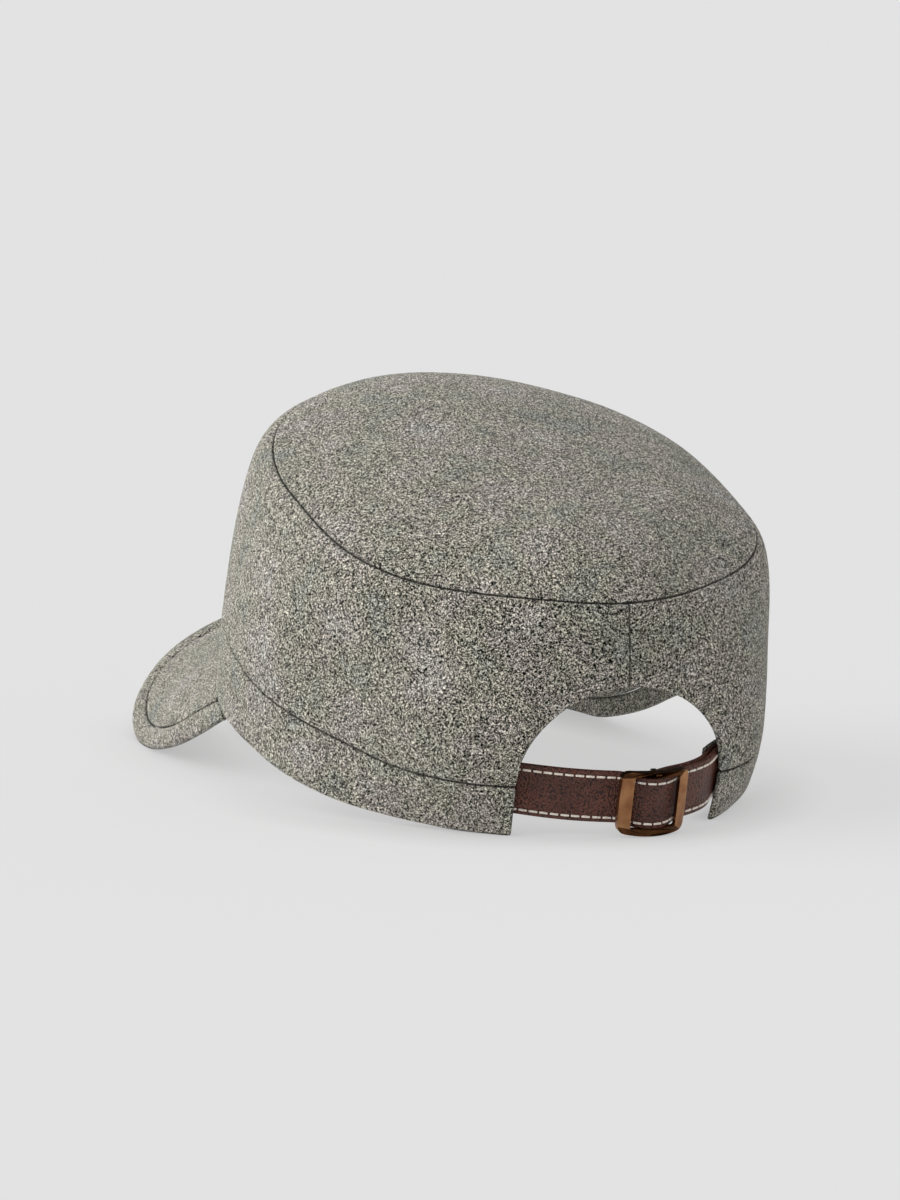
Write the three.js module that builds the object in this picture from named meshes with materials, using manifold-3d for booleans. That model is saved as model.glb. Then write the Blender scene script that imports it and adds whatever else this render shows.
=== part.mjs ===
// A wool field cap with a round flat-topped crown, a short curved peak and a leather strap
// that closes the gap at the back through a bronze slider. Millimetres, +Z up, front along -Y,
// the wearer's left along +X. It stands as it rests by itself: on the back corners of its hem
// and on the sides of its peak, so the whole cap leans back.
import * as THREE from 'three';
import { mergeVertices } from 'three/addons/utils/BufferGeometryUtils.js';
import Module from 'manifold-3d';

// Sections of the crown, every 30 degrees from the centre back round to the centre front and
// the same on both sides. Radii and heights are measured from the hem's plane and centre.
// belly swells the middle of the wall, shoulder rounds it under the top seam.
const SECTIONS = [
  { hemRadius: 94.5, hemHeight: 6.7, belly: 0.5, shoulder: 0.7, topRadius: 74.8, topHeight: 76.3 },
  { hemRadius: 84.3, hemHeight: 2.5, belly: 10.5, shoulder: 0.6, topRadius: 69.8, topHeight: 74.8 },
  { hemRadius: 78.0, hemHeight: -2.1, belly: 4.2, shoulder: 2.6, topRadius: 70.9, topHeight: 73.8 },
  { hemRadius: 83.6, hemHeight: -0.6, belly: 6.1, shoulder: 2.6, topRadius: 72.3, topHeight: 76.5 },
  { hemRadius: 94.5, hemHeight: -1.0, belly: 3.2, shoulder: 3.5, topRadius: 81.7, topHeight: 79.6 },
  { hemRadius: 106.4, hemHeight: 0.2, belly: 6.4, shoulder: 5.3, topRadius: 97.3, topHeight: 83.8 },
  { hemRadius: 107.3, hemHeight: 0.6, belly: 4.1, shoulder: 3.2, topRadius: 102.8, topHeight: 86.8 },
];

const LEAN = THREE.MathUtils.degToRad(14.2);   // how far the resting cap leans back
const SINK = 0.4;                              // how far the hem's corners sink as it rests
const PRESSED = 0.6;                           // cloth lower than this is pressed flat
const GAP = 0.3;                               // between pieces that touch

const WOOL = 2.2;                              // thickness of the crown's and band's cloth
const SHOULDER_SCALE = 3.5;                    // brings the shoulder's curve near to one
const TOP_TURN = 0.8;                          // the cloth turns in above this share of a wall
const DOME_HEIGHT = 11.6;                      // rise of the top panel over its seam
const DOME_POWER = 4;                          // how flat the panel stays before its edge
const BACK_BAND_HEIGHT = 17;                   // lower band, at the centre back
const FRONT_BAND_HEIGHT = 26.8;                // lower band, at the centre front
const BACK_SEAM_DEPTH = 0.8;                   // valley along the centre back seam
const BACK_SEAM_ANGLE = 0.011;                 // its half width, in radians round the head
const BACK_SEAM_COLUMNS = [0.030, 0.014];      // facets beside it

const COLUMN = THREE.MathUtils.degToRad(4.5);  // spacing of the facets round the head
const OPENING_ANGLE = 5 * COLUMN;              // half of the back opening
const ARCH_FOOT = 21.8;                        // height where the opening starts to arch
const ARCH_TOP = 51.3;                         // height of the arch at the centre back
const ARCH_POWER = 2.15;                       // 2 is an ellipse, more is squarer
const ARCH_STEPS = 9;

const SWEATBAND = 1.4;                         // thickness of the band inside the hem
const SWEATBAND_HEIGHT = 23.5;
const SWEATBAND_LIFT = 1.3;                    // its lower edge stays above the hem's
const SWEATBAND_END_DROP = 2.5;                // its right end is cut on a slant

const PEAK = 2.6;                              // thickness of the peak, cloth over a stiffener
const PEAK_HALF_WIDTH = 84.2;
const PEAK_BACK = -33.8;                       // where the peak's sides leave the hem
const PEAK_FRONT = -170.3;
const PEAK_POWER = 3.97;                       // plan of the edge, squarer than an ellipse
const PEAK_FRONT_SLOPE = 0.32;                 // fall of the peak for each mm forward
const PEAK_SIDE_SLOPE = 0.685;
const PEAK_BORDER = 9.5;                       // width of the strip sewn round the edge
const PEAK_BORDER_SWELL = 1.3;                 // how far its middle stands over the peak
const PEAK_SWELL_START = 0.06;                 // share of the edge over which that grows
const PEAK_TUCK = 2.1;                         // how far the peak's root lies under the band
const PEAK_CORNER_EASE = 0.035;                // its corners stay this far from the border's
const PEAK_FIELD_START = 0.003;                // its first row starts past the border's corner
const PEAK_BORDER_TIP = 0.006;                 // share of the edge left off at each end

const STRAP_WIDTH = 16.6;
const STRAP = 1.8;                             // thickness of the long stitched strap
const SHORT_STRAP = 1.3;                       // thickness of the strap looped on the slider
const TAB_EASE = 0.55;                         // the straps lie straight where the wall curves
const STRAP_HEIGHT = 19.6;                     // middle of the strap over the hem's plane
const STRAP_TAB_ANGLES = [0.60, 0.50, 0.40];   // where its ends lie behind the band
const STRAP_ROOM_END = 0.85;                   // the sweatband meets the wall again here
// the free run of the strap seen from above, from the wearer's left to the right
const STRAP_RUN = [
  { x: 20.0, y: 85.6 }, { x: 7.0, y: 90.0 }, { x: -5.6, y: 92.0 }, { x: -18.5, y: 90.0 },
  { x: -28.0, y: 85.0 },
];
const SLIDER_PLACE = { x: -5.6, y: 92.0 };     // the slider's middle on that run

const SLIDER_HALF_WIDTH = 10.8;
const SLIDER_HALF_HEIGHT = 10.15;
const SLIDER_BAR = 3.3;                        // width of the two upright bars
const SLIDER_RAIL = 1.5;                       // height of the upper and lower rails
const SLIDER = 2.0;                            // thickness of the frame
const SLIDER_BOW = 3.2;                        // how far its middle stands out
const SLIDER_STAND = 2.3;                      // height of the bars' middle over the strap's
const SLIDER_CORNER = 2.2;
const SLIDER_BULGE = 0.3;                      // swell of its outline
const SLIDER_HOLE_CORNER = 0.6;
const SLIDER_LEG = 0.8;                        // height of the pin's legs, behind the rails
const PIN_RADIUS = 0.8;                        // hidden middle bar
const PIN_STAND = 1.5;
const HUMP_HEIGHT = 5.1;                       // how far the strap rises over the middle bar
const HUMP_REACH = 9.9;
const HUMP_POWER = 0.6;                        // under 1 rounds it to a full loop
// the short strap's inner layer rising to the pin, and its end folded over, from the pin outwards
const LOOP_RISE = [{ along: 6, lift: 0.2 }, { along: 4, lift: 0.7 }, { along: 2, lift: 1.3 }];
const LOOP_END = [{ along: 1.9, out: 2.1 }, { along: 3.2, out: 0.75 }];
const LOOP_START = 8;                          // where the strap starts to rise
const LOOP_TURN = THREE.MathUtils.degToRad(189);

const wool = new THREE.MeshStandardMaterial({ color: 0x86847a, roughness: 0.95, metalness: 0 });
const innerWool = new THREE.MeshStandardMaterial({ color: 0x5f5d55, roughness: 0.95, metalness: 0 });
const leather = new THREE.MeshStandardMaterial({ color: 0x4b342e, roughness: 0.55, metalness: 0 });
const bronze = new THREE.MeshStandardMaterial({ color: 0x8a6446, roughness: 0.35, metalness: 0.9 });

const clamp = THREE.MathUtils.clamp;
const lerp = THREE.MathUtils.lerp;
const smoothstep = THREE.MathUtils.smoothstep;

// A cosine series through one column of SECTIONS, smooth round the head and the same both sides
function around(column) {
  const last = SECTIONS.length - 1;
  const series = SECTIONS.map((_, k) => {
    const sum = SECTIONS.reduce((total, section, j) => {
      const share = j === 0 || j === last ? 0.5 : 1;
      return total + share * section[column] * Math.cos((Math.PI * k * j) / last);
    }, 0);
    return (sum * (k === 0 || k === last ? 1 : 2)) / last;
  });
  return (angle) => series.reduce((total, size, k) => total + size * Math.cos(k * angle), 0);
}

const hemRadius = around('hemRadius');
const hemHeight = around('hemHeight');
const belly = around('belly');
const shoulder = around('shoulder');
const topRadius = around('topRadius');
const topHeight = around('topHeight');

// Radius of the crown's outer face, at an angle round the head and a share of its height
function wallRadius(angle, share) {
  const u = clamp(share, 0, 1);
  const taper = lerp(hemRadius(angle), topRadius(angle), u);
  const swell = belly(angle) * 4 * u * (1 - u);
  const rounding = SHOULDER_SCALE * shoulder(angle) * u ** 4 * Math.sqrt(1 - u);
  return taper + swell + rounding;
}

function shareAt(angle, height) {
  return (height - hemHeight(angle)) / (topHeight(angle) - hemHeight(angle));
}

function polar(angle, radius, height) {
  return new THREE.Vector3(radius * Math.sin(angle), radius * Math.cos(angle), height);
}

// The resting place: the cap leans back until its peak and hem both meet the surface at z = 0
const corner = polar(OPENING_ANGLE, hemRadius(OPENING_ANGLE), hemHeight(OPENING_ANGLE));
const resting = new THREE.Matrix4().makeRotationX(-LEAN);
const cornerHeight = corner.applyMatrix4(resting).z;
const REST = new THREE.Matrix4().makeTranslation(0, 0, -cornerHeight - SINK).multiply(resting);

function atRest(point) {
  return point.clone().applyMatrix4(REST);
}

// Cloth at rest, pressed flat where it meets the surface
function clothAtRest(point) {
  const moved = atRest(point);
  if (moved.z < PRESSED) moved.z = 0;
  return moved;
}

// A closed solid from an outer and an inner grid of points, [column][row], joined at the rims.
// round joins the last column to the first.
function shell(outer, inner, round = false) {
  const columns = outer.length;
  const rows = outer[0].length;
  const points = [...outer.flat(), ...inner.flat()];
  const at = (side, i, j) => side * columns * rows + (i % columns) * rows + j;
  const faces = [];
  const quad = (a, b, c, d) => faces.push(a, b, c, a, c, d);
  const spans = round ? columns : columns - 1;
  for (let i = 0; i < spans; i += 1) {
    for (let j = 0; j < rows - 1; j += 1) {
      quad(at(0, i, j), at(0, i, j + 1), at(0, i + 1, j + 1), at(0, i + 1, j));
      quad(at(1, i, j), at(1, i + 1, j), at(1, i + 1, j + 1), at(1, i, j + 1));
    }
    const top = rows - 1;
    quad(at(0, i, 0), at(0, i + 1, 0), at(1, i + 1, 0), at(1, i, 0));
    quad(at(0, i, top), at(1, i, top), at(1, i + 1, top), at(0, i + 1, top));
  }
  if (!round) {
    const end = columns - 1;
    for (let j = 0; j < rows - 1; j += 1) {
      quad(at(0, 0, j), at(1, 0, j), at(1, 0, j + 1), at(0, 0, j + 1));
      quad(at(0, end, j), at(0, end, j + 1), at(1, end, j + 1), at(1, end, j));
    }
  }
  return closedGeometry(points, faces);
}

// Joins points that coincide, drops the faces that this closes up and turns the rest outwards
function closedGeometry(points, faces) {
  const loose = new THREE.BufferGeometry().setFromPoints(points);
  loose.setIndex(faces);
  const geometry = mergeVertices(loose, 1e-4);
  const spots = geometry.getAttribute('position');
  const corners = [];
  let volume = 0;
  for (let f = 0; f < faces.length; f += 3) {
    const face = [0, 1, 2].map((k) => geometry.getIndex().getX(f + k));
    if (new Set(face).size === 3) {
      const [a, b, c] = face.map((k) => new THREE.Vector3().fromBufferAttribute(spots, k));
      volume += a.cross(b).dot(c);
      corners.push(...face);
    }
  }
  geometry.setIndex(volume > 0 ? corners : corners.reverse());
  geometry.computeVertexNormals();
  return geometry;
}

function steps(count, start = 0, end = 1) {
  return Array.from({ length: count + 1 }, (_, i) => lerp(start, end, i / count));
}

function columnsFrom(start, end) {
  return steps(Math.round((end - start) / COLUMN), start, end);
}

function named(name, geometry, material) {
  const mesh = new THREE.Mesh(geometry, material);
  mesh.name = name;
  return mesh;
}

// Top panel: an oval of cloth, flat in the middle and rounded down to its seam
function crownTop() {
  const middle = (topHeight(0) + topHeight(Math.PI)) / 2;
  const rings = [0, 0.3, 0.55, 0.75, 0.88, 0.96, 1];
  const angles = columnsFrom(0, 2 * Math.PI).slice(0, -1);
  const grid = (depth) => angles.map((angle) => rings.map((ring) => {
    const radius = topRadius(angle) * ring - depth * smoothstep(ring, TOP_TURN, 1);
    const rim = lerp(middle, topHeight(angle), ring);
    return clothAtRest(polar(angle, radius, rim + DOME_HEIGHT * (1 - ring ** DOME_POWER) - depth));
  }));
  return named('crown_top', shell(grid(0), grid(WOOL), true), wool);
}

function bandHeight(angle) {
  const front = (1 - Math.cos(angle)) / 2;
  return hemHeight(angle) + lerp(BACK_BAND_HEIGHT, FRONT_BAND_HEIGHT, front);
}

// Side of the crown: one strip closed by the centre back seam, with the arch cut from its foot
function crownSide() {
  const archPlaces = steps(ARCH_STEPS, 0, Math.PI / 2).map((turn) => ({
    angle: OPENING_ANGLE * Math.cos(turn) ** (2 / ARCH_POWER),
    foot: lerp(ARCH_FOOT, ARCH_TOP, Math.sin(turn) ** (2 / ARCH_POWER)),
  }));
  const seamPlaces = BACK_SEAM_COLUMNS.map((angle) => ({ angle, foot: ARCH_TOP }));
  const sidePlaces = columnsFrom(OPENING_ANGLE, Math.PI).slice(1).map((angle) => ({
    angle, foot: bandHeight(angle) + GAP / 2,
  }));
  const half = [...sidePlaces.reverse(), ...archPlaces.slice(0, -1), ...seamPlaces];
  const middle = { angle: 0, foot: ARCH_TOP };
  const others = [...half].reverse().slice(0, -1).map(({ angle, foot }) => ({ angle: -angle, foot }));
  const places = [...half, middle, ...others];
  const shares = [0, 0.1, 0.24, 0.4, 0.56, 0.7, 0.82, 0.91, 0.97, 1];
  const grid = (depth) => places.map(({ angle, foot }) => {
    const start = shareAt(angle, foot);
    const seam = BACK_SEAM_DEPTH * Math.exp(-((angle / BACK_SEAM_ANGLE) ** 2));
    return shares.map((share) => {
      const u = lerp(start, 1, share);
      const height = lerp(hemHeight(angle), topHeight(angle), u);
      const drop = (depth + GAP) * smoothstep(u, TOP_TURN, 1);
      const valley = seam * (1 - smoothstep(u, 0.9, 1));
      return clothAtRest(polar(angle, wallRadius(angle, u) - depth - valley, height - drop));
    });
  });
  return named('crown_side', shell(grid(0), grid(WOOL), true), wool);
}

// A strip that follows the wall, from one edge of the opening round the front to the other
function wallStrip(angles, shares, lower, upper, depth, thickness) {
  const grid = (inset) => angles.map((angle) => shares.map((share) => {
    const height = lerp(lower(angle), upper(angle), share);
    const radius = wallRadius(angle, shareAt(angle, height)) - depth(angle) - inset;
    return clothAtRest(polar(angle, radius, height));
  }));
  return shell(grid(0), grid(thickness));
}

// Lower band: the strip of cloth along the hem, butted to the crown's side
function lowerBand() {
  const upper = (angle) => bandHeight(angle) - GAP / 2;
  const shares = [0, 0.15, 0.4, 0.7, 1];
  const angles = columnsFrom(OPENING_ANGLE, 2 * Math.PI - OPENING_ANGLE);
  const strip = wallStrip(angles, shares, hemHeight, upper, () => 0, WOOL);
  return named('lower_band', strip, wool);
}

// Room for the strap's ends between the wall and the sweatband
function strapRoom(angle) {
  const turn = angle > Math.PI ? angle - 2 * Math.PI : angle;
  const straps = turn > 0 ? STRAP : STRAP + GAP + SHORT_STRAP;
  const layers = straps + 2 * (GAP + TAB_EASE);
  return layers * (1 - smoothstep(Math.abs(turn), STRAP_TAB_ANGLES[0] + 0.04, STRAP_ROOM_END));
}

// Sweatband: a strip of the same cloth inside the hem, from edge to edge of the opening
function sweatband() {
  const lower = (angle) => hemHeight(angle) + SWEATBAND_LIFT;
  const end = 2 * Math.PI - OPENING_ANGLE;
  const upper = (angle) => {
    const drop = angle === end ? SWEATBAND_END_DROP : 0;
    return hemHeight(angle) + SWEATBAND_LIFT + SWEATBAND_HEIGHT - drop;
  };
  const depth = (angle) => WOOL + GAP + strapRoom(angle);
  const strip = wallStrip(columnsFrom(OPENING_ANGLE, end), [0, 0.35, 0.7, 1], lower, upper, depth, SWEATBAND);
  return named('sweatband', strip, innerWool);
}

// The line where the peak leaves the hem, from the hem's widest place to the front
const WIDEST = THREE.MathUtils.degToRad(106);
const ROOT = steps(300, WIDEST, Math.PI).map((angle) => (
  polar(angle, hemRadius(angle), hemHeight(angle) - GAP)));

function rootAt(side) {
  const x = Math.abs(side);
  const found = ROOT.findIndex((root) => root.x < x);
  const next = found < 0 ? ROOT.length - 1 : Math.max(found, 1);
  const a = ROOT[next - 1];
  const b = ROOT[next];
  const share = clamp((a.x - x) / (a.x - b.x), 0, 1);
  return { y: lerp(a.y, b.y, share), z: lerp(a.z, b.z, share) };
}

// Upper face of the peak over a place in plan: it falls forwards, more so to the sides
function peakPoint(x, y) {
  const root = rootAt(x);
  const forward = Math.max(root.y - y, 0);
  const side = (x / PEAK_HALF_WIDTH) ** 2;
  return new THREE.Vector3(x, y, root.z - forward * lerp(PEAK_FRONT_SLOPE, PEAK_SIDE_SLOPE, side));
}

// Places along the peak's edge at even steps, from the left root to the right one
const EDGE_STEPS = 400;
const EDGE_REACH = 0.004;
const EDGE = steps(EDGE_STEPS, 0, Math.PI).map((turn) => {
  const x = PEAK_HALF_WIDTH * Math.sign(Math.cos(turn)) * Math.abs(Math.cos(turn)) ** (2 / PEAK_POWER);
  const y = lerp(PEAK_BACK, PEAK_FRONT, Math.sin(turn) ** (2 / PEAK_POWER));
  return new THREE.Vector3(x, y, 0);
});
const edgeLine = new THREE.CurvePath();
EDGE.slice(1).forEach((point, i) => edgeLine.add(new THREE.LineCurve3(EDGE[i], point)));

function edgePoint(share) {
  const plan = edgeLine.getPoint(clamp(share, 0, 1));
  return peakPoint(plan.x, plan.y);
}

function peakNormal(point) {
  const reach = 0.4;
  const inside = Math.min(Math.abs(point.x), PEAK_HALF_WIDTH - reach) * Math.sign(point.x);
  const across = peakPoint(inside + reach, point.y).sub(peakPoint(inside - reach, point.y));
  const along = peakPoint(inside, point.y - reach).sub(peakPoint(inside, point.y + reach));
  return along.cross(across).normalize();
}

// The seam between the peak and its border, a border's width in from the edge
function borderSeam(share, width = PEAK_BORDER) {
  const edge = edgePoint(share);
  const ahead = edgePoint(share + EDGE_REACH).sub(edgePoint(share - EDGE_REACH)).normalize();
  const seam = edge.clone().addScaledVector(ahead.cross(peakNormal(edge)).normalize(), width);
  return peakPoint(seam.x, seam.y);
}

// Where the seam, or a line beside it, comes out from under the band
function seamStart(width = PEAK_BORDER) {
  const share = steps(1000, 0, 0.5).find((place) => {
    const seam = borderSeam(place, width);
    return seam.y < rootAt(seam.x).y;
  });
  const seam = borderSeam(share, width);
  return { share, angle: Math.atan2(seam.x, seam.y) };
}

// A point of the peak's root, tucked under the band
function tucked(angle) {
  const root = polar(angle, hemRadius(angle) - PEAK_TUCK, 0);
  return peakPoint(root.x, root.y);
}

// A layered piece of the peak between two lines on its upper face, given by share of the edge
function peakPiece(shares, inner, outer, rows, swell = () => 0) {
  const upper = shares.map((share) => {
    const a = inner(share);
    const b = outer(share);
    return steps(rows).map((t) => peakPoint(lerp(a.x, b.x, t), lerp(a.y, b.y, t)));
  });
  const lower = upper.map((column) => column.map((point) => (
    point.clone().addScaledVector(peakNormal(point), -PEAK))));
  upper.forEach((column, i) => column.forEach((point, row) => {
    const rise = swell(shares[i]) * Math.sin((Math.PI * row) / rows);
    point.addScaledVector(peakNormal(point), rise);
  }));
  const [above, below] = [upper, lower].map((side) => side.map((column) => column.map(clothAtRest)));
  return shell(above, below);
}

// Peak: the middle of the visor, from its root under the band to the border's seam
function peakField() {
  const start = seamStart(PEAK_BORDER + GAP);
  const first = start.share + PEAK_FIELD_START;
  const root = (share) => {
    const along = (share - first) / (1 - 2 * first);
    return tucked(lerp(start.angle + PEAK_CORNER_EASE, 2 * Math.PI - start.angle - PEAK_CORNER_EASE, along));
  };
  const seam = (share) => borderSeam(share, PEAK_BORDER + GAP);
  return named('peak', peakPiece(steps(44, first, 1 - first), root, seam, 6), wool);
}

// Peak border: the strip of cloth round the edge. Its ends narrow along the band.
function peakBorder() {
  const start = seamStart();
  const tip = Math.atan2(PEAK_HALF_WIDTH, PEAK_BACK);
  const inner = (share) => {
    const nearest = Math.min(share, 1 - share);
    if (nearest >= start.share) return borderSeam(share);
    const angle = lerp(tip, start.angle, nearest / start.share);
    return tucked(share < 0.5 ? angle : -angle);
  };
  const swell = (share) => PEAK_BORDER_SWELL
    * smoothstep(Math.min(share, 1 - share), start.share, start.share + PEAK_SWELL_START);
  const end = PEAK_BORDER_TIP;
  const shares = [...steps(6, end, start.share), ...steps(44, start.share, 1 - start.share).slice(1),
    ...steps(6, 1 - start.share, 1 - end).slice(1)];
  return named('peak_border', peakPiece(shares, inner, edgePoint, 4, swell), wool);
}

// Middle line of a strap edge: hidden ends along the wall, and the free run between them
function strapLine(height) {
  const tab = (angle, side) => {
    const depth = WOOL + GAP + TAB_EASE + STRAP / 2;
    return polar(side * angle, wallRadius(angle, shareAt(angle, height)) - depth, height);
  };
  const free = STRAP_RUN.map(({ x, y }) => new THREE.Vector3(x, y, height));
  return new THREE.CatmullRomCurve3([
    ...STRAP_TAB_ANGLES.map((angle) => tab(angle, 1)), ...free,
    ...[...STRAP_TAB_ANGLES].reverse().map((angle) => tab(angle, -1)),
  ], false, 'centripetal');
}

const strapLower = strapLine(STRAP_HEIGHT - STRAP_WIDTH / 2);
const strapUpper = strapLine(STRAP_HEIGHT + STRAP_WIDTH / 2);
const strapPlaces = STRAP_RUN.length + 2 * STRAP_TAB_ANGLES.length - 1;
const sliderIndex = STRAP_RUN.findIndex(({ x }) => x === SLIDER_PLACE.x) + STRAP_TAB_ANGLES.length;
const sliderShare = sliderIndex / strapPlaces;

// Distance along the run from the slider's middle, towards the wearer's right
const RUN_STEPS = 400;
const RUN = steps(RUN_STEPS).map((share) => strapLower.getPoint(share).setZ(0));
const RUN_LENGTHS = RUN.reduce((lengths, point, i) => {
  lengths.push(i === 0 ? 0 : lengths[i - 1] + point.distanceTo(RUN[i - 1]));
  return lengths;
}, []);
const sliderLength = RUN_LENGTHS[Math.round(sliderShare * RUN_STEPS)];

function shareOfRun(distance) {
  const target = clamp(sliderLength + distance, 0, RUN_LENGTHS[RUN_STEPS]);
  const next = Math.max(RUN_LENGTHS.findIndex((length) => length >= target), 1);
  const before = RUN_LENGTHS[next - 1];
  return (next - 1 + (target - before) / (RUN_LENGTHS[next] - before)) / RUN_STEPS;
}

// A point of a strap: distance along the run, half of its width up or down, and how far out
function strapPoint(distance, up, out) {
  const share = shareOfRun(distance);
  const line = up > 0 ? strapUpper : strapLower;
  const tangent = line.getTangent(share).setZ(0).normalize();
  const outward = tangent.cross(new THREE.Vector3(0, 0, 1));
  return line.getPoint(share).addScaledVector(outward, out);
}

// A strap from its middle line, [distance, out], with square edges
function strapSolid(line, thickness) {
  const sides = line.map(([distance, out], i) => {
    const before = line[Math.max(i - 1, 0)];
    const after = line[Math.min(i + 1, line.length - 1)];
    const along = new THREE.Vector2(after[0] - before[0], after[1] - before[1]).normalize();
    const half = thickness / 2;
    const place = (side, up) => strapPoint(distance - side * along.y * half, up, out + side * along.x * half);
    return { outer: [-1, 1].map((up) => place(1, up)), inner: [-1, 1].map((up) => place(-1, up)) };
  });
  return shell(sides.map(({ outer }) => outer.map(atRest)), sides.map(({ inner }) => inner.map(atRest)));
}

function hump(distance) {
  if (Math.abs(distance) >= HUMP_REACH) return 0;
  const wave = (1 + Math.cos((Math.PI * distance) / HUMP_REACH)) / 2;
  return HUMP_HEIGHT * wave ** HUMP_POWER;
}

// Long strap: sewn in on the left, under the slider's bars and over its middle bar,
// its tail tucked in on the right
function strapLong() {
  const leftEnd = -sliderLength;
  const rightEnd = RUN_LENGTHS[RUN_STEPS] - sliderLength;
  const places = [...steps(16, leftEnd, -HUMP_REACH), ...steps(16, -HUMP_REACH, HUMP_REACH).slice(1),
    ...steps(12, HUMP_REACH, rightEnd).slice(1)];
  const line = places.map((distance) => [distance, hump(distance)]);
  return named('strap_long', strapSolid(line, STRAP), leather);
}

// Short strap: sewn in on the right behind the tail, looped round the slider's middle bar
function strapShort() {
  const under = -(STRAP / 2 + GAP + SHORT_STRAP / 2);
  const loop = PIN_RADIUS + GAP + SHORT_STRAP / 2;
  const rightEnd = RUN_LENGTHS[RUN_STEPS] - sliderLength;
  const run = steps(10, rightEnd, LOOP_START).map((distance) => [distance, under]);
  const rise = LOOP_RISE.map(({ along, lift }) => [along, under + lift]);
  const turns = steps(8, 0, LOOP_TURN).map((turn) => (
    [-loop * Math.sin(turn), PIN_STAND - loop * Math.cos(turn)]));
  const end = LOOP_END.map(({ along, out }) => [along, out]);
  return named('strap_short', strapSolid([...run, ...rise, ...turns, ...end], SHORT_STRAP), leather);
}

// Slider: a bowed bronze frame with a round middle bar set lower between its rails
async function slider() {
  const wasm = await Module();
  wasm.setup();
  const outline = (halfWidth, halfHeight, cornerRadius, bulge) => {
    const across = steps(12, -1, 1).slice(1, -1);
    const corners = steps(3, 0, Math.PI / 2);
    const straightX = halfWidth - cornerRadius;
    const straightY = halfHeight - cornerRadius;
    const swell = (share) => bulge * (1 - share * share);
    const points = [];
    [0, 1, 2, 3].forEach((quarter) => {
      const turn = (quarter * Math.PI) / 2;
      const flatX = quarter % 2 === 0 ? straightX : straightY;
      const flatY = quarter % 2 === 0 ? straightY : straightX;
      const place = (x, y) => points.push(new THREE.Vector2(x, y).rotateAround(new THREE.Vector2(), turn));
      corners.forEach((c) => place(flatX + cornerRadius * Math.cos(c), flatY + cornerRadius * Math.sin(c)));
      across.forEach((share) => place(-share * flatX, flatY + cornerRadius + swell(share)));
    });
    return points;
  };
  const frameShape = new THREE.Shape(
    outline(SLIDER_HALF_WIDTH, SLIDER_HALF_HEIGHT, SLIDER_CORNER, SLIDER_BULGE));
  frameShape.holes.push(new THREE.Path(
    outline(SLIDER_HALF_WIDTH - SLIDER_BAR, SLIDER_HALF_HEIGHT - SLIDER_RAIL, SLIDER_HOLE_CORNER, 0)));
  const frame = new THREE.ExtrudeGeometry(frameShape, { depth: SLIDER, bevelEnabled: false });
  const spots = frame.getAttribute('position');
  for (let i = 0; i < spots.count; i += 1) {
    const bowed = SLIDER_BOW * (1 - (spots.getX(i) / SLIDER_HALF_WIDTH) ** 2);
    spots.setZ(i, spots.getZ(i) - SLIDER / 2 + SLIDER_STAND + bowed);
  }
  const legMiddle = SLIDER_HALF_HEIGHT - SLIDER_RAIL + SLIDER_LEG / 2;
  const pin = new THREE.CylinderGeometry(PIN_RADIUS, PIN_RADIUS, 2 * legMiddle, 10).translate(0, 0, PIN_STAND);
  const legFoot = PIN_STAND - PIN_RADIUS;
  const legTop = SLIDER_STAND + SLIDER_BOW;
  const leg = (side) => new THREE.BoxGeometry(2 * PIN_RADIUS, SLIDER_LEG, legTop - legFoot)
    .translate(0, side * legMiddle, (legTop + legFoot) / 2);
  const toSolid = (geometry) => {
    const bare = geometry.clone();
    bare.deleteAttribute('normal');
    bare.deleteAttribute('uv');
    const merged = mergeVertices(bare, 1e-4);
    return new wasm.Manifold(new wasm.Mesh({
      numProp: 3,
      vertProperties: merged.getAttribute('position').array,
      triVerts: new Uint32Array(merged.getIndex().array),
    }));
  };
  const fused = [pin, leg(1), leg(-1)].reduce((solid, piece) => solid.add(toSolid(piece)), toSolid(frame));
  const mesh = fused.getMesh();
  const share = shareOfRun(0);
  const along = strapLower.getTangent(share).setZ(0).normalize();
  const up = new THREE.Vector3(0, 0, 1);
  const out = along.clone().cross(up);
  const middle = strapLower.getPoint(share).setZ(STRAP_HEIGHT);
  const points = [];
  for (let i = 0; i < mesh.vertProperties.length; i += mesh.numProp) {
    const [s, h, n] = mesh.vertProperties.slice(i, i + 3);
    const point = middle.clone().addScaledVector(along, s).addScaledVector(up, h).addScaledVector(out, n);
    points.push(atRest(point));
  }
  return named('slider', closedGeometry(points, Array.from(mesh.triVerts)), bronze);
}

const cap = new THREE.Group();
cap.add(crownTop(), crownSide(), lowerBand(), sweatband(), peakField(), peakBorder());
cap.add(strapLong(), strapShort(), await slider());

// The origin lies under the middle of the cap
const middle = new THREE.Box3().setFromObject(cap).getCenter(new THREE.Vector3());
cap.position.set(-middle.x, -middle.y, 0);
cap.updateMatrixWorld(true);

export default cap;
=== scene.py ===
import math

import bpy
from mathutils import Matrix, Vector


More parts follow.
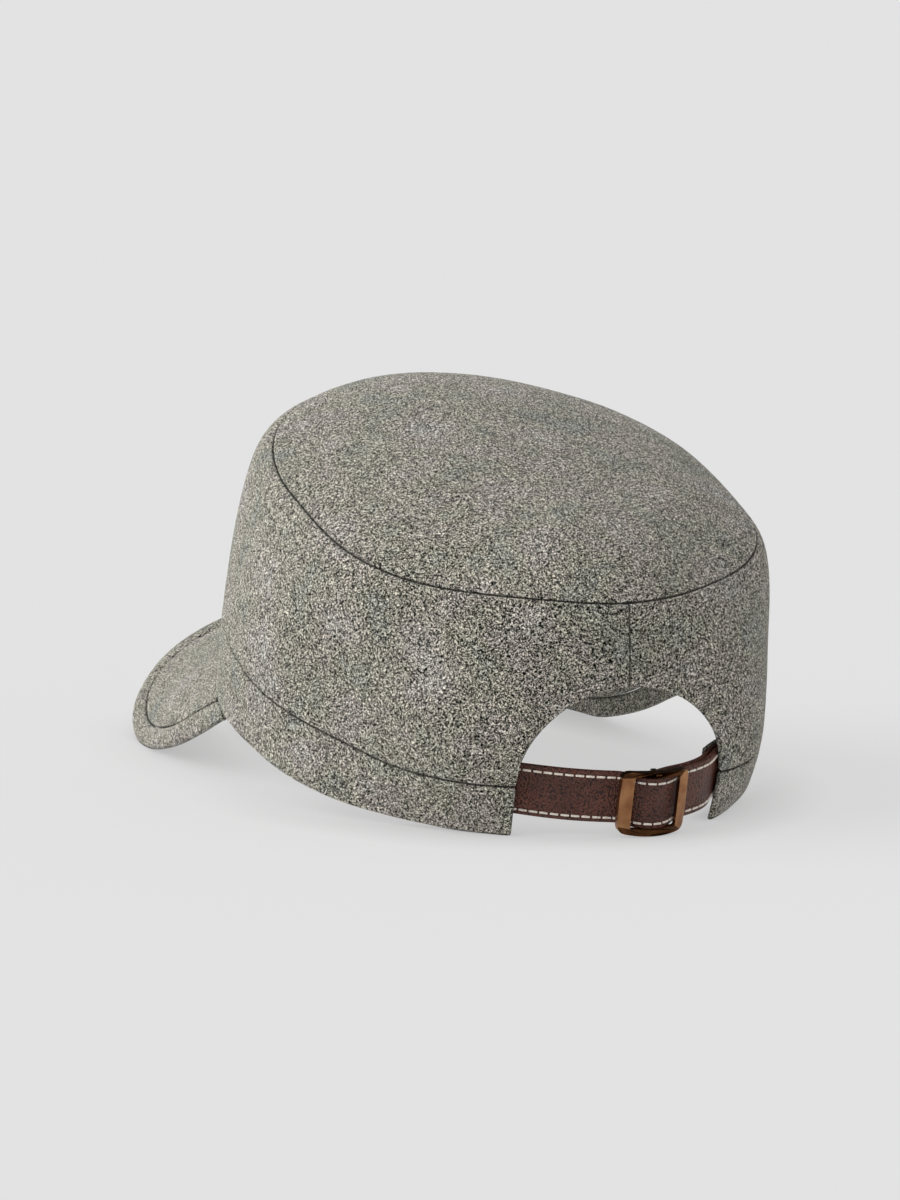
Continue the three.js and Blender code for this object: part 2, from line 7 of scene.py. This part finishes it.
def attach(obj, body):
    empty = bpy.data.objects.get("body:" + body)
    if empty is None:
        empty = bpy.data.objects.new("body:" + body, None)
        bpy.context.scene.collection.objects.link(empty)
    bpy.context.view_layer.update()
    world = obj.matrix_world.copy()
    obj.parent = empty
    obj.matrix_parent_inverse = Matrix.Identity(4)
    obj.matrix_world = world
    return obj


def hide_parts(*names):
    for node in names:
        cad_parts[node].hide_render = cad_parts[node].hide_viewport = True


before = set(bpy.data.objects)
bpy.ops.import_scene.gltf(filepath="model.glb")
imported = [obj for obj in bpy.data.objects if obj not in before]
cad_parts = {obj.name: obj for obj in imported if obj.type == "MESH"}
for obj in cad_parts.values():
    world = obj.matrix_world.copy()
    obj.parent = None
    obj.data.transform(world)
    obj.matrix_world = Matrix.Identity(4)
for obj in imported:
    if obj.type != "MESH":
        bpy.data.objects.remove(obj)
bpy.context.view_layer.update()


# Crown top: the flat oval panel of the crown, cut from grey melange wool and sewn to the
# side strip. The wool is fulled until it is felted, so it shows no weave: only light and
# dark fibres side by side, a short nap and soft folded edges along each seam.
MM = 0.001
WELD = 0.02 * MM               # corners closer than this are one
FOLD = 0.8 * MM                # radius of a turned or seamed cloth edge
CLOTH_WAVE = 1.6 * MM          # how far the cloth swells and dips in all
CLOTH_WAVE_LENGTH = 45 * MM
SMOOTHING = 2                  # times each face is cut in four


def choose(piece):
    """Makes one piece the selected and the active one."""
    bpy.ops.object.select_all(action="DESELECT")
    piece.select_set(True)
    bpy.context.view_layer.objects.active = piece


def finish_with(piece, kind, **settings):
    """Adds one modifier to a piece and applies it."""
    modifier = piece.modifiers.new(kind.title(), kind)
    for name, value in settings.items():
        setattr(modifier, name, value)
    choose(piece)
    bpy.ops.object.modifier_apply(modifier=modifier.name)


def copy_of(node, name):
    """A copy of a CAD node's mesh with its corners merged and its triangles paired."""
    piece = bpy.data.objects.new(name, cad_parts[node].data.copy())
    bpy.context.scene.collection.objects.link(piece)
    piece.data.materials.clear()
    choose(piece)
    bpy.ops.object.mode_set(mode="EDIT")
    bpy.ops.mesh.select_all(action="SELECT")
    bpy.ops.mesh.remove_doubles(threshold=WELD)
    bpy.ops.mesh.tris_convert_to_quads(face_threshold=math.pi, shape_threshold=math.pi)
    bpy.ops.object.mode_set(mode="OBJECT")
    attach(piece, "root")
    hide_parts(node)
    return piece


def round_edges(piece, radius, rows=2, corner=50, clamp=False):
    """Rounds every edge of a piece that is sharper than corner degrees."""
    choose(piece)
    bpy.ops.object.mode_set(mode="EDIT")
    bpy.ops.mesh.select_mode(type="EDGE")
    bpy.ops.mesh.select_all(action="DESELECT")
    bpy.ops.mesh.edges_select_sharp(sharpness=math.radians(corner))
    bpy.ops.mesh.bevel(offset=radius, segments=rows, affect="EDGES", clamp_overlap=clamp)
    bpy.ops.object.mode_set(mode="OBJECT")


cloth_swell = bpy.data.textures.new("cloth swell", "CLOUDS")
cloth_swell.noise_scale = CLOTH_WAVE_LENGTH
cloth_swell.noise_depth = 1
cloth_swell.cloud_type = "COLOR"


def cloth_panel(node, name, material, fold=FOLD):
    """A cloth piece: its CAD solid with rounded edges, smooth curves and a slight swell."""
    piece = copy_of(node, name)
    round_edges(piece, fold)
    finish_with(piece, "SUBSURF", levels=SMOOTHING, render_levels=SMOOTHING)
    finish_with(piece, "DISPLACE", texture=cloth_swell, texture_coords="GLOBAL",
                direction="RGB_TO_XYZ", space="GLOBAL", strength=CLOTH_WAVE, mid_level=0.5)
    for corner in piece.data.vertices:
        corner.co.z = max(corner.co.z, 0)
    bpy.ops.object.shade_smooth()
    piece.data.materials.append(material)
    return piece


def linear(colour):
    """An sRGB hex colour as linear red, green, blue and alpha."""
    parts = [int(colour[i:i + 2], 16) / 255 for i in (0, 2, 4)]
    return [p / 12.92 if p <= 0.04045 else ((p + 0.055) / 1.055) ** 2.4 for p in parts] + [1]


def add_node(tree, kind, settings=None, links=None, stops=None):
    """Adds a node: settings by socket or property, links by socket, stops for a colour ramp."""
    made = tree.nodes.new(kind)
    for name, value in (settings or {}).items():
        if isinstance(name, int) or name in made.inputs:
            made.inputs[name].default_value = value
        else:
            setattr(made, name, value)
    for name, source in (links or {}).items():
        tree.links.new(source, made.inputs[name])
    if stops:
        ramp = made.color_ramp
        while len(ramp.elements) < len(stops):
            ramp.elements.new(1)
        for element, (place, colour) in zip(ramp.elements, stops):
            element.position = place
            element.color = linear(colour)
    return made


def new_material(name):
    """A named material, its node tree, its shader and the piece's own coordinates."""
    material = bpy.data.materials.new(name)
    material.use_nodes = True
    tree = material.node_tree
    place = add_node(tree, "ShaderNodeTexCoord").outputs["Object"]
    return material, tree, tree.nodes["Principled BSDF"], place


# Felted melange wool: dyed and undyed fibres carded together, spun, woven and fulled. It
# gives a salt and pepper grey with no lines in it, dull, with a pale nap at grazing angles.
FLECK = 0.52 * MM              # a tuft of like fibres
FIBRE = 0.32 * MM              # single dark and light fibres over the tufts
FIBRE_SHARE = 0.32
PATCH = 16 * MM                # where one shade gathers
NAP = 0.25 * MM                # height of the fibres
PAINTED_SHADE_REACH = 1.1 * MM              # cloth this close gets painted shade, as in a seam
# painted shade: the near black that seams and crevices are darkened towards
PAINTED_CREVICE_SHADE = "12110e"
# painted shade for the upright lines on the back of the crown
PAINTED_LINE_SHADE = "1d1c18"
BACK_START = 60 * MM           # the painted shade lines are only on cloth this far behind the middle
LINE_FADE = 5 * MM


def painted_line_mask(tree, place, line):
    """A mask for an upright line of painted shade on the back of the crown: x, half width, low and high
    ends.
    """
    split = add_node(tree, "ShaderNodeSeparateXYZ", None, {0: place})
    beside = add_node(tree, "ShaderNodeMath", {"operation": "SUBTRACT", 1: line["x"]},
                      {0: split.outputs["X"]})
    aside = add_node(tree, "ShaderNodeMath", {"operation": "ABSOLUTE"}, {0: beside.outputs[0]})
    mask = add_node(tree, "ShaderNodeMapRange",
                    {"From Min": line["half"] / 3, "From Max": line["half"],
                     "To Min": line["depth"], "To Max": 0},
                    {"Value": aside.outputs[0]}).outputs[0]
    for axis, start, end in (("Y", BACK_START, BACK_START + MM),
                             ("Z", line["low"], line["low"] + LINE_FADE),
                             ("Z", line["high"], line["high"] - LINE_FADE)):
        inside = add_node(tree, "ShaderNodeMapRange", {"From Min": start, "From Max": end},
                          {"Value": split.outputs[axis]})
        mask = add_node(tree, "ShaderNodeMath", {"operation": "MULTIPLY"},
                        {0: mask, 1: inside.outputs[0]}).outputs[0]
    return mask


def melange_wool(name, stops, patch_stops, lines=()):
    """Felted wool: flecks coloured by stops, tinted in patches, with painted shade in seams and crevices
    and painted shade lines if any.
    """
    material, tree, shader, place = new_material(name)
    tuft = add_node(tree, "ShaderNodeTexNoise",
                    {"Scale": 1 / FLECK, "Detail": 1.5, "Roughness": 0.6, "Distortion": 1.6},
                    {"Vector": place})
    fibre = add_node(tree, "ShaderNodeTexNoise",
                     {"Scale": 1 / FIBRE, "Detail": 1.0, "Roughness": 0.5, "Distortion": 2.2},
                     {"Vector": place})
    fleck = add_node(tree, "ShaderNodeMix", {0: FIBRE_SHARE},
                     {2: tuft.outputs["Fac"], 3: fibre.outputs["Fac"]})
    colour = add_node(tree, "ShaderNodeValToRGB", None, {"Fac": fleck.outputs[0]}, stops)
    patch = add_node(tree, "ShaderNodeTexNoise", {"Scale": 1 / PATCH, "Detail": 3.0},
                     {"Vector": place})
    tint = add_node(tree, "ShaderNodeValToRGB", None, {"Fac": patch.outputs["Fac"]}, patch_stops)
    cloth = add_node(tree, "ShaderNodeMix", {"data_type": "RGBA", "blend_type": "MULTIPLY", 0: 1.0},
                     {6: colour.outputs["Color"], 7: tint.outputs["Color"]})
    # Painted shade: where ambient occlusion finds cloth this close, as in seams and crevices, the colour
    # is darkened towards a near black
    groove = add_node(tree, "ShaderNodeAmbientOcclusion", {"samples": 8, "Distance": PAINTED_SHADE_REACH})
    depth = add_node(tree, "ShaderNodeMapRange",
                     {"From Min": 0.5, "From Max": 0.9, "To Min": 0.3, "To Max": 1.0},
                     {"Value": groove.outputs["AO"]})
    result = add_node(tree, "ShaderNodeMix", {"data_type": "RGBA", 6: linear(PAINTED_CREVICE_SHADE)},
                      {0: depth.outputs[0], 7: cloth.outputs[2]}).outputs[2]
    # Painted shade along each upright line on the back of the crown
    for line in lines:
        result = add_node(tree, "ShaderNodeMix", {"data_type": "RGBA", 7: linear(PAINTED_LINE_SHADE)},
                          {0: painted_line_mask(tree, place, line), 6: result}).outputs[2]
    tree.links.new(result, shader.inputs["Base Color"])
    nap = add_node(tree, "ShaderNodeBump", {"Strength": 0.6, "Distance": NAP},
                   {"Height": fleck.outputs[0]})
    tree.links.new(nap.outputs["Normal"], shader.inputs["Normal"])
    shader.inputs["Roughness"].default_value = 0.95
    shader.inputs["Specular IOR Level"].default_value = 0.1
    shader.inputs["Sheen Weight"].default_value = 0.08
    shader.inputs["Sheen Roughness"].default_value = 0.45
    return material


grey_stops = [(0.491, "020201"), (0.518, "181611"), (0.537, "767368"), (0.560, "faf7ee")]
shade_stops = [(0.3, "dfe4e2"), (0.45, "f1f0e6"), (0.58, "f8f3f0"), (0.72, "ffffff")]
grey_wool = melange_wool("felted grey melange wool", grey_stops, shade_stops)

# Painted shade along the centre back seam, and beside it along the edge of its turnings, pressed through
# the cloth
painted_seam_lines = [
    {"x": 0, "half": 0.5 * MM, "depth": 0.8, "low": 30 * MM, "high": 90 * MM},
    {"x": 7.8 * MM, "half": 0.7 * MM, "depth": 0.28, "low": 50 * MM, "high": 70 * MM},
]
wool_with_painted_lines = melange_wool("felted grey melange wool, painted seam lines", grey_stops, shade_stops, painted_seam_lines)

cloth_panel("crown_top", "crown_top_panel", grey_wool)


# Crown side: one strip of the same wool round the head, joined by a seam at the centre
# back, with the arched opening cut out of its foot and its raw edge turned in.
cloth_panel("crown_side", "crown_side_strip", wool_with_painted_lines)


# Lower band: a straight strip of the wool along the hem. Its edges are turned in and it is
# sewn to the crown's side, so a narrow groove runs between the two.
SEAM_PULL = 0.6 * MM           # at the front the hem is drawn down onto the peak's root
FULL_PULL = 30 * MM            # the pull is full this far in front of the middle
EDGE_SLOPE = 0.4               # only what faces down more than this is drawn

lower_band = cloth_panel("lower_band", "hem_band", grey_wool)
for corner in lower_band.data.vertices:
    facing_down = (-corner.normal.z - EDGE_SLOPE) / (1 - EDGE_SLOPE)
    forward = min(-corner.co.y / FULL_PULL, 1)
    if facing_down > 0 and forward > 0:
        corner.co.z -= SEAM_PULL * facing_down * forward


# Sweatband: a thinner strip of the wool inside the hem, sewn on along its lower edge, so
# that it lies between the head and the seams. Its right end is cut on a slant.
INNER_FOLD = 0.5 * MM

cloth_panel("sweatband", "inner_band", grey_wool, INNER_FOLD)


# Peak: wool over a thin stiff board, bent down at the sides, with a separate strip of wool
# folded over its edge.
cloth_panel("peak", "peak_cover", grey_wool)
cloth_panel("peak_border", "peak_edge_strip", grey_wool)


# Strap: two layers of brown leather glued and stitched along both edges. It is sewn in at
# the left, goes through the slider and is tucked in at the right, where a short loop of
# thinner leather holds the slider.
LEATHER_EDGE = 0.35 * MM
PEBBLE = 0.62 * MM             # a grain cell of the leather
PEBBLE_DEPTH = 0.5 * MM
GRAIN_BEND = 0.6 * MM          # how far the cells are pulled out of line
GRAIN_BEND_LENGTH = 2.5 * MM
WEAR = 9 * MM                  # where the dye is a little lighter or darker


def grained_leather(name):
    """Dyed and finished cowhide: a dark brown, with a fine pebbled grain, painted shade in the hollows
    between its grain cells and a soft gloss.
    """
    material, tree, shader, place = new_material(name)
    warp = add_node(tree, "ShaderNodeTexNoise", {"Scale": 1 / GRAIN_BEND_LENGTH, "Detail": 2.0},
                    {"Vector": place})
    bent = add_node(tree, "ShaderNodeVectorMath", {"operation": "MULTIPLY_ADD", 1: [GRAIN_BEND] * 3},
                    {0: warp.outputs["Color"], 2: place})
    cells = add_node(tree, "ShaderNodeTexVoronoi",
                     {"feature": "SMOOTH_F1", "Scale": 1 / PEBBLE, "Smoothness": 0.4},
                     {"Vector": bent.outputs[0]})
    wear = add_node(tree, "ShaderNodeTexNoise", {"Scale": 1 / WEAR, "Detail": 3.0},
                    {"Vector": place})
    colour = add_node(tree, "ShaderNodeValToRGB", None, {"Fac": wear.outputs["Fac"]},
                      [(0.3, "522d22"), (0.52, "63392d"), (0.72, "734537")])
    # Painted shade: darker towards the edge of each grain cell, in the hollows between the pebbles
    depth = add_node(tree, "ShaderNodeValToRGB", None, {"Fac": cells.outputs["Distance"]},
                     [(0.35, "ffffff"), (0.8, "5e4a44")])
    skin = add_node(tree, "ShaderNodeMix", {"data_type": "RGBA", "blend_type": "MULTIPLY", 0: 1.0},
                    {6: colour.outputs["Color"], 7: depth.outputs["Color"]})
    tree.links.new(skin.outputs[2], shader.inputs["Base Color"])
    grain = add_node(tree, "ShaderNodeBump", {"Strength": 1.0, "Distance": PEBBLE_DEPTH, "invert": True},
                     {"Height": cells.outputs["Distance"]})
    tree.links.new(grain.outputs["Normal"], shader.inputs["Normal"])
    shader.inputs["Roughness"].default_value = 0.36
    shader.inputs["Specular IOR Level"].default_value = 0.34
    return material


brown_leather = grained_leather("dyed grained cowhide")


def leather_strap(node, name):
    """A leather piece: its CAD solid with slightly rounded edges and smooth bends."""
    piece = copy_of(node, name)
    round_edges(piece, LEATHER_EDGE)
    finish_with(piece, "SUBSURF", levels=SMOOTHING, render_levels=SMOOTHING)
    bpy.ops.object.shade_smooth()
    piece.data.materials.append(brown_leather)
    return piece


strap_long = leather_strap("strap_long", "stitched_strap")
leather_strap("strap_short", "slider_loop")


# Stitches: one row of waxed cream thread near each edge of the strap, laid by machine so
# that each stitch sinks a little into the leather at its ends.
LEAN = math.radians(14.2)      # the cap leans back by this as it rests
STITCH = 2.6 * MM
STITCH_PITCH = 3.2 * MM
THREAD = 0.75 * MM
STITCH_END = 0.2 * MM          # rounding of a stitch's ends
STITCH_INSET = 1.7 * MM        # from the strap's edge
PROUD = 0.14 * MM              # how far a stitch's middle line stands over the leather
TWIST = 0.5 * MM               # of the thread
NEEDLE_STEP = 0.1 * MM         # the strap's face is felt at this spacing
OUTSIDE = 300 * MM             # well behind the cap
BREAK = 2 * MM                 # a longer step is a jump to another turn of the strap
upright = Matrix.Rotation(LEAN, 4, "X")
resting = upright.inverted()


def waxed_thread(name):
    """Twisted cotton thread drawn through wax: cream, a little dirty in its turns."""
    material, tree, shader, place = new_material(name)
    twist = add_node(tree, "ShaderNodeTexNoise", {"Scale": 1 / TWIST, "Detail": 2.0},
                     {"Vector": place})
    colour = add_node(tree, "ShaderNodeValToRGB", None, {"Fac": twist.outputs["Fac"]},
                      [(0.3, "cfbfae"), (0.5, "f3e9dd"), (0.7, "fffaf2")])
    tree.links.new(colour.outputs["Color"], shader.inputs["Base Color"])
    shader.inputs["Roughness"].default_value = 0.6
    return material


def strap_face(height):
    """Points along the strap's outer face at one height, left to right, in the cap's own frame."""
    corners = [upright @ v.co for v in strap_long.data.vertices]
    low_x = min(c.x for c in corners)
    high_x = max(c.x for c in corners)
    to_local = strap_long.matrix_world.inverted()
    points = []
    x = high_x
    while x > low_x:
        start = to_local @ (resting @ Vector((x, OUTSIDE, height)))
        aim = to_local.to_3x3() @ (resting.to_3x3() @ Vector((0, -1, 0)))
        hit, spot, normal, _ = strap_long.ray_cast(start, aim)
        if hit:
            points.append((spot, normal))
        x -= NEEDLE_STEP
    return points


def sew_row(height):
    """One row of stitches along the strap, each a short thread laid on its face."""
    face = strap_face(height)
    walked = 0
    start = None
    for (before, _), (spot, normal) in zip(face, face[1:]):
        step = (spot - before).length
        if step > BREAK:
            start = None
            walked = 0
            continue
        walked += step
        if start is None:
            start = spot
        along = walked % STITCH_PITCH
        if along < step:
            start = spot
        elif along >= STITCH and along - step < STITCH:
            yield start, spot, normal


bpy.ops.mesh.primitive_cylinder_add(vertices=8, radius=THREAD / 2, depth=STITCH)
one_stitch = bpy.context.object
bpy.ops.object.mode_set(mode="EDIT")
bpy.ops.mesh.select_mode(type="FACE")
bpy.ops.mesh.select_all(action="SELECT")
bpy.ops.mesh.bevel(offset=STITCH_END, segments=2, affect="EDGES")
bpy.ops.object.mode_set(mode="OBJECT")
bpy.ops.object.shade_smooth()
one_stitch.data.materials.append(waxed_thread("waxed cotton thread"))

edges = [upright @ v.co for v in strap_long.data.vertices]
strap_low = min(e.z for e in edges)
strap_high = max(e.z for e in edges)
stitches = []
for height in (strap_low + STITCH_INSET, strap_high - STITCH_INSET):
    for start, end, normal in sew_row(height):
        stitch = one_stitch.copy()
        stitch.data = one_stitch.data.copy()
        bpy.context.scene.collection.objects.link(stitch)
        turn = (end - start).to_track_quat("Z", "Y").to_matrix().to_4x4()
        middle = (start + end) / 2 + normal * PROUD
        stitch.matrix_world = Matrix.Translation(middle) @ turn
        stitches.append(stitch)
bpy.data.objects.remove(one_stitch)
bpy.ops.object.select_all(action="DESELECT")
for stitch in stitches:
    stitch.select_set(True)
bpy.context.view_layer.objects.active = stitches[0]
bpy.ops.object.join()
bpy.ops.object.transform_apply(location=True, rotation=True, scale=True)
stitching = bpy.context.object
stitching.name = "strap_stitches"
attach(stitching, "root")


# Slider: a cast bronze frame, bowed across, with a plain round bar hidden under the strap. It is tumbled
# smooth; its rails carry a painted dark reflection, and the narrow faces along their edges a painted
# highlight.
BRONZE_EDGE = 0.35 * MM
BRONZE_CLOUD = 4 * MM          # where the colour is uneven
RAIL_START = 8.5 * MM          # the rails, painted dark as a reflection, begin this far above and below the middle
HIGHLIGHT_FACE = 0.4 * MM ** 2    # faces of the rails' edges are smaller, and get a painted highlight
SILL = (8.2 * MM, 9.0 * MM)    # the window's lower edge lies between these below the middle
SILL_RISE = 0.35 * MM          # it stands up to the leather
bronze_and_highlight_stops = [(0.3, "84593c"), (0.6, "a27652"), (0.8, "b38660")]
dark_reflection_stops = [(0.3, "3a2417"), (0.6, "53351f"), (0.8, "6b472d")]


def antique_bronze(name, stops):
    """Tumbled bronze: a satin metal, its colour uneven between the colours of stops."""
    material, tree, shader, place = new_material(name)
    cloud = add_node(tree, "ShaderNodeTexNoise", {"Scale": 1 / BRONZE_CLOUD, "Detail": 3.0},
                     {"Vector": place})
    colour = add_node(tree, "ShaderNodeValToRGB", None, {"Fac": cloud.outputs["Fac"]}, stops)
    tree.links.new(colour.outputs["Color"], shader.inputs["Base Color"])
    shader.inputs["Metallic"].default_value = 1
    shader.inputs["Roughness"].default_value = 0.3
    return material


slider = copy_of("slider", "bronze_slider")
round_edges(slider, BRONZE_EDGE, rows=3, corner=40, clamp=True)
choose(slider)
bpy.ops.object.shade_smooth_by_angle(angle=math.radians(35))
slider.data.materials.append(antique_bronze("antique bronze, painted edge highlights", bronze_and_highlight_stops))
slider.data.materials.append(antique_bronze("bronze, painted dark reflection", dark_reflection_stops))
slider_heights = [(upright @ v.co).z for v in slider.data.vertices]
slider_middle = (min(slider_heights) + max(slider_heights)) / 2
for corner, height in zip(slider.data.vertices, slider_heights):
    if SILL[0] < slider_middle - height < SILL[1]:
        corner.co += resting.to_3x3() @ Vector((0, 0, SILL_RISE))
# Painted reflection and highlight: the broad faces of the rails get the dark bronze, the small faces
# along their edges the bright one
for face in slider.data.polygons:
    aside = abs((upright @ face.center).z - slider_middle)
    face.material_index = int(aside > RAIL_START and face.area > HIGHLIGHT_FACE)


# The photographer's table: a plain pale surface that glows evenly, with a painted contact shadow where
# the cap is near, soft light from the upper left and the camera low behind the cap's left shoulder.
CAMERA_TURN = math.radians(157.18)
CAMERA_RISE = math.radians(8.11)
CAMERA_DISTANCE = 1627 * MM
CAMERA_LENS = 153.9
CAMERA_AIM = Vector((16.8, 26.4, 59.7)) * MM
FILM_WIDTH = 36
TABLE = 80                     # in metres, so that its edge lies behind the background
PAINTED_SHADOW_REACH = 25 * MM              # painted shadow on the table where the cap is this close
KEY_RISE = 0.42                # rise of the key light for each unit to the left
KEY_WIDTH = math.radians(60)   # of a large soft box

bpy.ops.mesh.primitive_plane_add(size=TABLE)
floor = bpy.context.object
floor.name = "pale_table"
paper, paper_tree, paper_shader, _ = new_material("matt glowing table, painted contact shadow")
paper_shader.inputs["Base Color"].default_value = linear("6f6f6f")
paper_shader.inputs["Roughness"].default_value = 1
paper_shader.inputs["Specular IOR Level"].default_value = 0
# Painted shadow: the table's glow is dimmed by ambient occlusion near the cap
under = add_node(paper_tree, "ShaderNodeAmbientOcclusion", {"samples": 16, "Distance": PAINTED_SHADOW_REACH})
glow_with_painted_shadow = add_node(paper_tree, "ShaderNodeMapRange",
                {"From Min": 0.1, "From Max": 1.0, "To Min": 0.42, "To Max": 0.585},
                {"Value": under.outputs["AO"]})
paper_tree.links.new(glow_with_painted_shadow.outputs[0], paper_shader.inputs["Emission Strength"])
paper_shader.inputs["Emission Color"].default_value = linear("ffffff")
floor.data.materials.append(paper)

world = bpy.data.worlds.new("studio")
bpy.context.scene.world = world
world.use_nodes = True
backdrop = world.node_tree.nodes["Background"]
backdrop.inputs["Color"].default_value = linear("e3e3e3")
backdrop.inputs["Strength"].default_value = 1

view_back = Vector((math.sin(CAMERA_TURN) * math.cos(CAMERA_RISE),
                    -math.cos(CAMERA_TURN) * math.cos(CAMERA_RISE), math.sin(CAMERA_RISE)))
view_right = Vector((math.cos(CAMERA_TURN), math.sin(CAMERA_TURN), 0))
bpy.ops.object.light_add(type="SUN")
key = bpy.context.object
key.name = "soft key light"
key.data.energy = 3.0
key.data.angle = KEY_WIDTH
key_from = Vector((0, 0, KEY_RISE)) - view_right
key.rotation_euler = key_from.to_track_quat("Z", "Y").to_euler()

bpy.ops.object.camera_add(location=CAMERA_AIM + view_back * CAMERA_DISTANCE)
camera = bpy.context.object
camera.rotation_euler = view_back.to_track_quat("Z", "Y").to_euler()
camera.data.lens = CAMERA_LENS
camera.data.sensor_width = FILM_WIDTH
bpy.context.scene.camera = camera
bpy.context.scene.view_settings.view_transform = "Standard"
